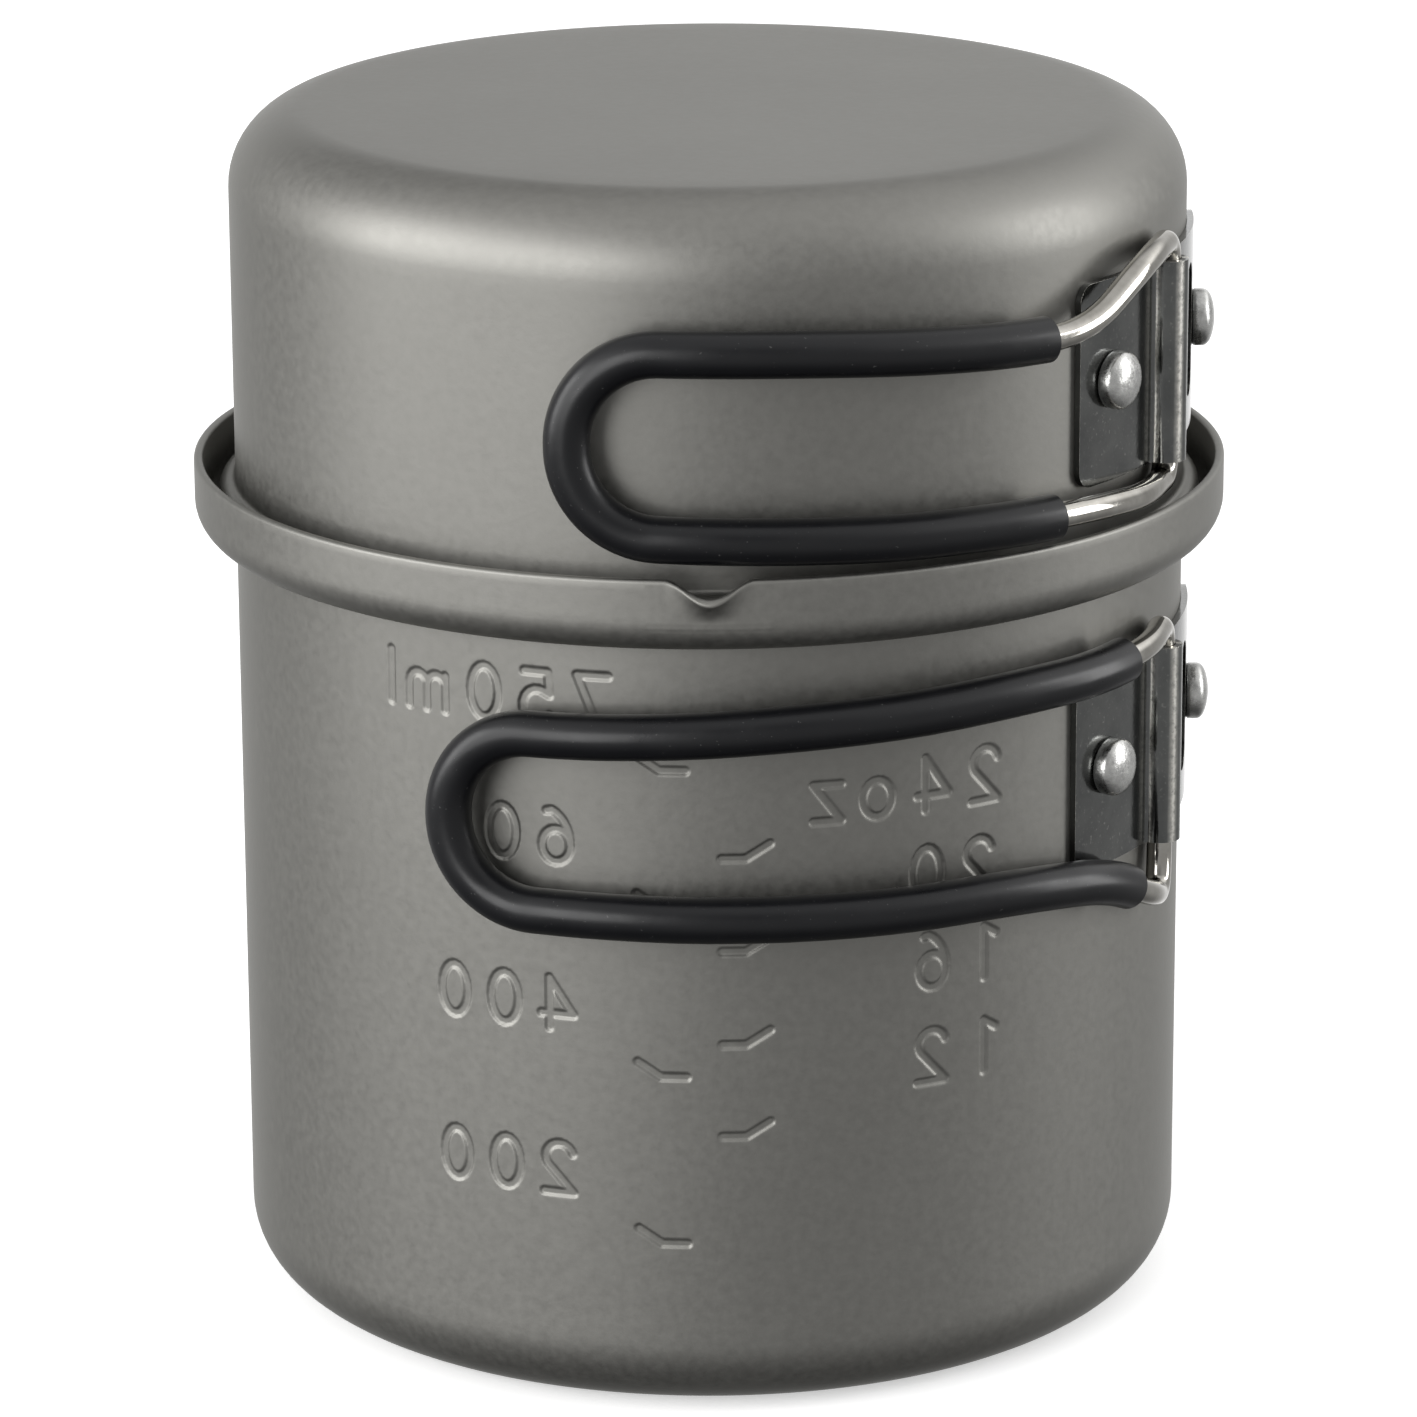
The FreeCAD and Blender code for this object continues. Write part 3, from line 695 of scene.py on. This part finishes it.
SEAT = PLATE_INSIDE + PLATE
RIVET_AZIMUTHS = {"front": HINGE_AZIMUTH - 11.7, "rear": HINGE_AZIMUTH + 21.2}
HEAD = 3.4 * MM
HEAD_HEIGHT = 2.6 * MM
SHANK = 1.6 * MM
TAIL = 3.0 * MM
TAIL_TOP = -1.95 * MM
TAIL_HEIGHT = 1.0 * MM
FLANK = 1.0 * MM
DOME_STEPS = 12
DENT_DEPTH = 0.045 * MM


def rivet_mesh(name, azimuth, height):
    """Spin the rivet's outline, dent its head a little, and set it in the wall."""
    form = bmesh.new()
    outline_points = [Vector((0, 0, HEAD_HEIGHT))]
    for k in range(1, DOME_STEPS + 1):
        angle = math.radians(90 * k / DOME_STEPS)
        outline_points.append(Vector((HEAD * math.sin(angle) ** 0.92, 0,
                                      FLANK + (HEAD_HEIGHT - FLANK) * math.cos(angle) ** 0.8)))
    outline_points += [Vector((HEAD, 0, 0.5 * MM)), Vector((HEAD * 0.985, 0, 0.15 * MM)),
                       Vector((HEAD * 0.94, 0, 0)), Vector((SHANK, 0, 0)),
                       Vector((SHANK, 0, TAIL_TOP)), Vector((TAIL * 0.95, 0, TAIL_TOP)),
                       Vector((TAIL, 0, TAIL_TOP - 0.15 * MM)),
                       Vector((TAIL, 0, TAIL_TOP - TAIL_HEIGHT + 0.3 * MM)),
                       Vector((TAIL * 0.9, 0, TAIL_TOP - TAIL_HEIGHT)),
                       Vector((0, 0, TAIL_TOP - TAIL_HEIGHT))]
    verts = [form.verts.new(point) for point in outline_points]
    edges = [form.edges.new(pair) for pair in zip(verts, verts[1:])]
    bmesh.ops.spin(form, geom=verts + edges, cent=(0, 0, 0), axis=(0, 0, 1),
                   angle=2 * math.pi, steps=48, use_merge=True)
    bmesh.ops.remove_doubles(form, verts=form.verts, dist=1e-7)
    bmesh.ops.recalc_face_normals(form, faces=form.faces)
    for vert in form.verts:
        if vert.co.z > FLANK:
            dent = noise.noise(vert.co * 400.0 + Vector((azimuth, height * 1000, 0)))
            vert.co.z += DENT_DEPTH * dent
    upright = Matrix.Rotation(math.radians(90), 4, "X")
    turn = Matrix.Rotation(math.radians(azimuth), 4, "Z")
    bmesh.ops.transform(form, verts=form.verts,
                        matrix=Matrix.Translation(at(azimuth, height, SEAT)) @ turn @ upright)
    for face in form.faces:
        face.smooth = True
    thing = add_object(name, form)
    thing.data.set_sharp_from_angle(angle=math.radians(50))
    return thing


def rivet_aluminium():
    """Tumbled aluminium: pale, softly shiny, with small knocks."""
    material, tree, shader, place = new_material("rivet_aluminium", 0.3, 1.0)
    knocks = grain(tree, place, 600.0, 3.0)
    fine = grain(tree, place, 2500.0, 2.0)
    colour = ramp(tree, knocks, [(0.3, (0.46, 0.46, 0.45)), (0.7, (0.66, 0.66, 0.64))])
    tree.links.new(colour, shader.inputs["Base Color"])
    tree.links.new(remap(tree, fine, 0.3, 0.7, 0.22, 0.36), shader.inputs["Roughness"])
    bump(tree, shader, [(knocks, 0.5, 0.16 * MM), (fine, 0.3, 0.04 * MM)])
    return material


cast_aluminium = rivet_aluminium()
for vessel in ("pot", "lid"):
    for end, azimuth in RIVET_AZIMUTHS.items():
        node = f"{vessel}_rivet_{end}"
        low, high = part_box(node)
        rivet = rivet_mesh(node + "_head", azimuth, (low.z + high.z) / 2)
        rivet.data.materials.append(cast_aluminium)
        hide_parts(node)
        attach(rivet, vessel)


# ---------------------------------------------------------------------------
# Handles. One 3 mm stainless wire each, bent to a loop that lies round the
# vessel, its ends turned up and down into the bracket's hump. One black
# rubber tube is pulled over the loop and stops a little before the bends.

WIRE = 1.5 * MM
SLEEVE = 2.65 * MM
PIN_BEND = 2.2
LOOP_BEND = 10.3
BEND_SHARE = 0.45
lid_route = [
    (65.2, 122.0, 58.3, None), (65.2, 132.6, 58.3, PIN_BEND), (56.0, 132.4, 60.5, None),
    (44.5, 126.1, 60.8, None), (33.0, 126.3, 60.6, None), (21.0, 127.0, 60.6, None),
    (10.5, 127.6, 60.6, None), (0.5, 127.8, 60.6, None), (-15.1, 127.7, 60.6, LOOP_BEND),
    (-15.1, 106.8, 60.6, LOOP_BEND), (0.5, 106.5, 60.6, None), (10.5, 106.2, 60.6, None),
    (21.0, 105.8, 60.6, None), (34.5, 105.5, 60.6, None), (45.5, 105.3, 60.8, None),
    (56.0, 104.5, 60.3, None), (65.2, 104.3, 58.3, PIN_BEND), (65.2, 115.0, 58.3, None),
]
pot_route = [
    (65.2, 76.0, 58.3, None), (65.2, 86.7, 58.3, PIN_BEND), (57.5, 86.2, 60.4, None),
    (46.5, 85.6, 60.9, None), (34.0, 85.6, 60.7, None), (22.0, 85.0, 60.6, None),
    (10.0, 84.6, 60.6, None), (-2.0, 83.9, 60.6, None), (-13.7, 83.4, 60.6, None),
    (-29.4, 82.9, 60.6, LOOP_BEND), (-29.4, 62.2, 60.6, LOOP_BEND), (-13.7, 62.4, 60.6, None),
    (-2.0, 62.2, 60.6, None), (10.0, 62.1, 60.6, None), (22.0, 62.0, 60.6, None),
    (35.0, 61.9, 60.6, None), (48.5, 60.3, 60.8, None), (58.5, 55.8, 60.3, None),
    (63.6, 54.1, 58.8, None), (65.2, 58.2, 58.3, None), (65.2, 68.0, 58.3, None),
]


def bend_radii(points, tight):
    """The bend at each inner point: the tight one, or as large as its runs allow."""
    radii = []
    for before, here, after, given in zip(points, points[1:], points[2:], tight[1:]):
        half_turn = (here - before).angle(after - here) / 2
        shorter = min((here - before).length, (after - here).length)
        radii.append(given if given else BEND_SHARE * shorter / math.tan(half_turn))
    return radii


def bent_line(points, radii, step=4.0):
    """Points along straight runs and round bends, one every few degrees of turn."""
    line = [points[0]]
    for before, here, after, radius in zip(points, points[1:], points[2:], radii):
        arriving = (here - before).normalized()
        leaving = (after - here).normalized()
        turn = arriving.angle(leaving)
        reach = radius * math.tan(turn / 2)
        centre = here + (leaving - arriving).normalized() * radius / math.cos(turn / 2)
        start = here - arriving * reach
        axis = arriving.cross(leaving)
        steps = max(2, math.ceil(math.degrees(turn) / step))
        for k in range(steps + 1):
            swing = Matrix.Rotation(turn * k / steps, 3, axis)
            line.append(centre + swing @ (start - centre))
    line.append(points[-1])
    return line


def bar(line, radius, sides):
    """Sweep a circle along a line: one ring a point, turned as little as can be."""
    form = bmesh.new()
    direction = (line[1] - line[0]).normalized()
    side = direction.orthogonal().normalized()
    rings = []
    for number, point in enumerate(line):
        ahead = line[min(number + 1, len(line) - 1)] - line[max(number - 1, 0)]
        new_direction = ahead.normalized()
        side = direction.rotation_difference(new_direction) @ side
        direction = new_direction
        frame_matrix = Matrix((side, direction.cross(side), direction)).transposed().to_4x4()
        ring = bmesh.ops.create_circle(form, segments=sides, radius=radius,
                                       matrix=Matrix.Translation(point) @ frame_matrix)["verts"]
        rings.append([form.edges.get((ring[k], ring[k - 1])) for k in range(sides)])
    for one, other in zip(rings, rings[1:]):
        bmesh.ops.bridge_loops(form, edges=one + other)
    caps = [bmesh.ops.contextual_create(form, geom=ends)["faces"][0]
            for ends in (rings[0], rings[-1])]
    bmesh.ops.recalc_face_normals(form, faces=form.faces)
    return form, caps


def ease_end(form, cap, width, depth):
    """Inset a bar's end by a width and move it along by a depth, to round its rim."""
    bmesh.ops.inset_region(form, faces=[cap], thickness=width, depth=0.0)
    bmesh.ops.translate(form, verts=list(cap.verts), vec=cap.normal * depth)


def wire_mesh(name, points, radii):
    """The bent wire, with its two cut ends eased."""
    form, caps = bar(bent_line(points, radii), WIRE, 32)
    for cap in caps:
        ease_end(form, cap, 0.3 * MM, 0.15 * MM)
    for face in form.faces:
        face.smooth = True
    thing = add_object(name, form)
    thing.data.set_sharp_from_angle(angle=math.radians(50))
    return thing


def sleeve_mesh(name, points, radii):
    """The rubber tube: its cut ends are a ring with a soft edge round the wire."""
    form, caps = bar(bent_line(points, radii), SLEEVE, 48)
    for cap in caps:
        ease_end(form, cap, 0.12 * MM, 0.0)
        ease_end(form, cap, 0.14 * MM, 0.1 * MM)
        ease_end(form, cap, 0.75 * MM, 0.0)
        ease_end(form, cap, 0.12 * MM, -0.35 * MM)
    for face in form.faces:
        face.smooth = True
    thing = add_object(name, form)
    thing.data.set_sharp_from_angle(angle=math.radians(70))
    return thing


def wire_steel():
    """Drawn and polished stainless wire, with faint rubbed streaks."""
    material, tree, shader, place = new_material("wire_steel", 0.14, 1.0)
    rub = grain(tree, place, 300.0, 4.0)
    fine = grain(tree, place, 2200.0, 2.0)
    colour = ramp(tree, rub, [(0.3, (0.36, 0.345, 0.315)), (0.75, (0.5, 0.485, 0.45))])
    tree.links.new(colour, shader.inputs["Base Color"])
    tree.links.new(remap(tree, rub, 0.3, 0.7, 0.07, 0.16), shader.inputs["Roughness"])
    bump(tree, shader, [(fine, 0.12, 0.03 * MM)])
    return material


def sleeve_rubber():
    """Satin black rubber, with a little dust and a skin that is not quite even."""
    material, tree, shader, place = new_material("sleeve_rubber", 0.34, 0.0)
    shader.inputs["Specular IOR Level"].default_value = 0.42
    skin = grain(tree, place, 180.0, 3.0)
    dust = grain(tree, place, 2600.0, 1.0)
    specks = remap(tree, dust, 0.74, 0.78, 0.0, 1.0)
    colour = ramp(tree, specks, [(0.0, (0.0028, 0.003, 0.0042)), (1.0, (0.05, 0.05, 0.05))])
    tree.links.new(colour, shader.inputs["Base Color"])
    tree.links.new(remap(tree, skin, 0.3, 0.7, 0.27, 0.38), shader.inputs["Roughness"])
    bump(tree, shader, [(skin, 0.1, 0.2 * MM), (dust, 0.08, 0.04 * MM)])
    return material


drawn_wire = wire_steel()
black_rubber = sleeve_rubber()
for vessel, route, first, last in (("pot", pot_route, 2, 16), ("lid", lid_route, 3, 13)):
    points = [at(azimuth, height * MM, radius * MM) for azimuth, height, radius, _ in route]
    tight = [bend * MM if bend else None for _, _, _, bend in route]
    radii = bend_radii(points, tight)
    wire = wire_mesh(vessel + "_wire", points, radii)
    wire.data.materials.append(drawn_wire)
    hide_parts(vessel + "_handle_wire")
    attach(wire, vessel + "_handle")
    sleeve_points = [(points[first] + points[first + 1]) / 2] + points[first + 1:last + 1]
    sleeve_points.append((points[last] + points[last + 1]) / 2)
    sleeve = sleeve_mesh(vessel + "_sleeve", sleeve_points, radii[first:last])
    sleeve.data.materials.append(black_rubber)
    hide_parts(vessel + "_handle_sleeve")
    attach(sleeve, vessel + "_handle")


# ---------------------------------------------------------------------------
# Lid pan. The same sheet and finish as the pot, a shallow pan turned over.
# Its open edge steps out a little and stands in the channel of the pot's rim.

PAN_EDGE, PAN_TOP = (corner.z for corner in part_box("lid_pan"))
PAN_STEP = 99.4 * MM
PAN_STEP_RADIUS = 58.6 * MM
PAN_BEND = 9.2 * MM
STEP_BEND = 1.4 * MM


def pan_profile():
    """The pan's outline from its flat end's centre, outside, round its edge, and back inside."""
    inner = WALL - GAUGE
    inner_bend = PAN_BEND - GAUGE
    step_inner = PAN_STEP_RADIUS - GAUGE
    inner_step = STEP_BEND - GAUGE
    foot = 0.6 * MM
    edge = 0.4 * MM
    points = [Vector((0, 0, PAN_TOP))]
    points += line_points((0, PAN_TOP), (WALL - PAN_BEND, PAN_TOP), 12)
    points += arc_points((WALL - PAN_BEND, PAN_TOP - PAN_BEND), PAN_BEND, 90, 0, 14)
    points += line_points((WALL, PAN_TOP - PAN_BEND), (WALL, PAN_STEP + foot), 24)
    points += arc_points((WALL + foot, PAN_STEP + foot), foot, 180, 270, 5)
    points += arc_points((PAN_STEP_RADIUS - STEP_BEND, PAN_STEP - STEP_BEND), STEP_BEND, 90, 0, 8)
    points += line_points((PAN_STEP_RADIUS, PAN_STEP - STEP_BEND),
                          (PAN_STEP_RADIUS, PAN_EDGE + edge), 3)
    points += arc_points((PAN_STEP_RADIUS - edge, PAN_EDGE + edge), edge, 0, -90, 3)
    points += arc_points((step_inner + edge, PAN_EDGE + edge), edge, -90, -180, 3)
    points += arc_points((step_inner - inner_step, PAN_STEP - GAUGE - inner_step),
                         inner_step, 0, 90, 3)
    points += line_points((step_inner - inner_step, PAN_STEP - GAUGE), (inner, PAN_STEP - GAUGE), 2)
    points.append(Vector((inner, 0, PAN_STEP - GAUGE + 0.1 * MM)))
    points += line_points((inner, PAN_STEP), (inner, PAN_TOP - PAN_BEND), 16)
    points += arc_points((inner - inner_bend, PAN_TOP - GAUGE - inner_bend), inner_bend, 0, 90, 12)
    points += line_points((inner - inner_bend, PAN_TOP - GAUGE), (0, PAN_TOP - GAUGE), 10)
    points.append(Vector((0, 0, PAN_TOP - GAUGE)))
    return points


pan_form = spun(pan_profile())
for face in pan_form.faces:
    face.smooth = True
pan = add_object("pan", pan_form)
pan.data.materials.append(anodised)
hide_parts("lid_pan")
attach(pan, "lid")


# ---------------------------------------------------------------------------

bpy.context.view_layer.update()
